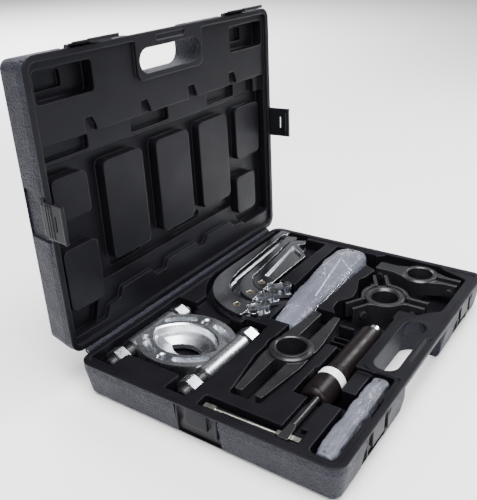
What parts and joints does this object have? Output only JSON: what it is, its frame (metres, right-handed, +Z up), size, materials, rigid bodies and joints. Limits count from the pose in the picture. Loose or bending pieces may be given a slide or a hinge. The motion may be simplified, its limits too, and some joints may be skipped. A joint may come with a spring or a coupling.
{
  "type": "hydraulic puller and bearing separator set in carrying case",
  "caption": "Open black carrying case holding a hydraulic ram, puller yokes, hooked puller jaws with link straps and a split bearing separator.",
  "frame": {"origin": "middle of the underside of the case's base", "axes": "+X along the hinge, +Y from the handle side to the hinge side, +Z up"},
  "size_m": [0.578, 0.4964, 0.5059],
  "materials": {
    "case_texture": "pebbled black",
    "case_smooth": "satin black",
    "latch_plastic": "satin black",
    "pin_steel": "plain",
    "zinc_steel": "zinc plated",
    "jaw_steel": "dark faces, bright edges",
    "black_steel": "black oxide",
    "bush_steel": "dull",
    "ram_paint": "brown black",
    "label_white": "plain white band",
    "rod_steel": "polished",
    "spring_steel": "bright",
    "seal_rubber": "matt",
    "bar_steel": "yellow zinc",
    "film": "clear film over greased steel"
  },
  "bodies": {
    "case_base": {"base_outer_shell": "case_texture", "base_inner_tray": "case_smooth", "hinge_pin": "pin_steel"},
    "lid": {"lid_outer_shell": "case_texture", "lid_inner_tray": "case_smooth", "latch_pins": "pin_steel"},
    "latch_front_left": {"latch_front_left": "latch_plastic"},
    "latch_front_right": {"latch_front_right": "latch_plastic"},
    "latch_side_left": {"latch_side_left": "latch_plastic"},
    "latch_side_right": {"latch_side_right": "latch_plastic"},
    "separator": {"separator_studs": "black_steel"},
    "separator_left": {"separator_half_left": "zinc_steel"},
    "separator_right": {"separator_half_right": "zinc_steel"},
    "nut_front_left": {"nut_front_left": "zinc_steel"},
    "nut_front_right": {"nut_front_right": "zinc_steel"},
    "nut_back_left": {"nut_back_left": "zinc_steel"},
    "nut_back_right": {"nut_back_right": "zinc_steel"},
    "jaw_outer": {"jaw_outer": "jaw_steel", "jaw_outer_bush": "bush_steel"},
    "jaw_middle": {"jaw_middle": "jaw_steel", "jaw_middle_bush": "bush_steel"},
    "jaw_inner": {"jaw_inner": "jaw_steel", "jaw_inner_bush": "bush_steel"},
    "link_outer": {"link_outer": "zinc_steel", "link_bolt_outer": "zinc_steel", "link_nut_outer": "black_steel"},
    "link_middle": {"link_middle": "zinc_steel", "link_bolt_middle": "zinc_steel", "link_nut_middle": "black_steel"},
    "link_inner": {"link_inner": "zinc_steel", "link_bolt_inner": "zinc_steel", "link_nut_inner": "black_steel"},
    "bridge_yoke": {"bridge_yoke": "black_steel"},
    "triple_yoke": {"triple_yoke_ring": "black_steel", "triple_yoke_straps": "black_steel", "triple_yoke_bolts": "black_steel", "triple_yoke_nuts": "black_steel"},
    "double_yoke": {"double_yoke": "black_steel", "double_yoke_bolts": "black_steel", "double_yoke_nuts": "black_steel"},
    "ram": {"ram_body": "ram_paint", "ram_pump_head": "ram_paint", "ram_label_band": "label_white", "ram_gland": "black_steel", "ram_spring": "spring_steel"},
    "ram_piston": {"ram_piston": "rod_steel", "ram_seal": "seal_rubber", "ram_centre_tip": "rod_steel"},
    "lever_bar": {"lever_bar": "bar_steel"},
    "pump_lever": {"pump_lever": "black_steel"},
    "wrapped_rods": {"wrapped_rods": "film"},
    "wrapped_jaws": {"wrapped_jaws": "film"}
  },
  "joints": [
    {"name": "lid_hinge", "type": "hinge", "parent": "case_base", "child": "lid", "pos_m": [0, 0.2196, 0.0591], "axis": [-1, 0, 0], "range_deg": [-90.5, 0]},
    {"name": "latch_front_left_pivot", "type": "hinge", "parent": "lid", "child": "latch_front_left", "pos_m": [-0.173, 0.23069, 0.49312], "axis": [-1, 0, 0], "range_deg": [-9, 110]},
    {"name": "latch_front_right_pivot", "type": "hinge", "parent": "lid", "child": "latch_front_right", "pos_m": [0.176, 0.23069, 0.49312], "axis": [-1, 0, 0], "range_deg": [-9, 110]},
    {"name": "latch_side_left_pivot", "type": "hinge", "parent": "lid", "child": "latch_side_left", "pos_m": [-0.2805, 0.22884, 0.28163], "axis": [0, -0.0087, -1], "range_deg": [-4, 110]},
    {"name": "latch_side_right_pivot", "type": "hinge", "parent": "lid", "child": "latch_side_right", "pos_m": [0.2805, 0.22884, 0.28163], "axis": [0, 0.0087, 1], "range_deg": [-4, 110]},
    {"name": "separator_lift", "type": "slide", "parent": "case_base", "child": "separator", "axis": [0, 0, 1], "range_m": [0, 0.12]},
    {"name": "separator_left_slide", "type": "slide", "parent": "separator", "child": "separator_left", "axis": [-1, 0, 0], "range_m": [0, 0.007]},
    {"name": "separator_right_slide", "type": "slide", "parent": "separator", "child": "separator_right", "axis": [1, 0, 0], "range_m": [0, 0.004]},
    {"name": "nut_front_left_run", "type": "slide", "parent": "separator", "child": "nut_front_left", "axis": [-1, 0, 0], "range_m": [0, 0.01]},
    {"name": "nut_back_left_run", "type": "slide", "parent": "separator", "child": "nut_back_left", "axis": [-1, 0, 0], "range_m": [0, 0.01]},
    {"name": "nut_front_right_run", "type": "slide", "parent": "separator", "child": "nut_front_right", "axis": [1, 0, 0], "range_m": [0, 0.012]},
    {"name": "nut_back_right_run", "type": "slide", "parent": "separator", "child": "nut_back_right", "axis": [1, 0, 0], "range_m": [0, 0.012]},
    {"name": "jaw_outer_lift", "type": "slide", "parent": "case_base", "child": "jaw_outer", "axis": [0, 0, 1], "range_m": [0, 0.12]},
    {"name": "link_outer_pivot", "type": "hinge", "parent": "jaw_outer", "child": "link_outer", "pos_m": [-0.021, 0.074, 0.048], "axis": [0, 0, 1], "range_deg": [-14, 4]},
    {"name": "jaw_middle_lift", "type": "slide", "parent": "case_base", "child": "jaw_middle", "axis": [0, 0, 1], "range_m": [0, 0.12]},
    {"name": "link_middle_pivot", "type": "hinge", "parent": "jaw_middle", "child": "link_middle", "pos_m": [0.02, 0.083, 0.048], "axis": [0, 0, 1], "range_deg": [-28, 8]},
    {"name": "jaw_inner_lift", "type": "slide", "parent": "case_base", "child": "jaw_inner", "axis": [0, 0, 1], "range_m": [0, 0.12]},
    {"name": "link_inner_pivot", "type": "hinge", "parent": "jaw_inner", "child": "link_inner", "pos_m": [0.059, 0.085, 0.048], "axis": [0, 0, 1], "range_deg": [-28, 6]},
    {"name": "bridge_yoke_lift", "type": "slide", "parent": "case_base", "child": "bridge_yoke", "axis": [0, 0, 1], "range_m": [0, 0.12]},
    {"name": "triple_yoke_lift", "type": "slide", "parent": "case_base", "child": "triple_yoke", "axis": [0, 0, 1], "range_m": [0, 0.12]},
    {"name": "double_yoke_lift", "type": "slide", "parent": "case_base", "child": "double_yoke", "axis": [0, 0, 1], "range_m": [0, 0.12]},
    {"name": "ram_lift", "type": "slide", "parent": "case_base", "child": "ram", "axis": [0, 0, 1], "range_m": [0, 0.12]},
    {"name": "lever_bar_lift", "type": "slide", "parent": "case_base", "child": "lever_bar", "axis": [0, 0, 1], "range_m": [0, 0.12]},
    {"name": "wrapped_rods_lift", "type": "slide", "parent": "case_base", "child": "wrapped_rods", "axis": [0, 0, 1], "range_m": [0, 0.12]},
    {"name": "wrapped_jaws_lift", "type": "slide", "parent": "case_base", "child": "wrapped_jaws", "axis": [0, 0, 1], "range_m": [0, 0.12]},
    {"name": "ram_piston_stroke", "type": "slide", "parent": "ram", "child": "ram_piston", "axis": [1, 0, 0], "range_m": [0, 0.04]},
    {"name": "pump_lever_lift", "type": "slide", "parent": "lever_bar", "child": "pump_lever", "axis": [0, 0, 1], "range_m": [0, 0.12]}
  ]
}
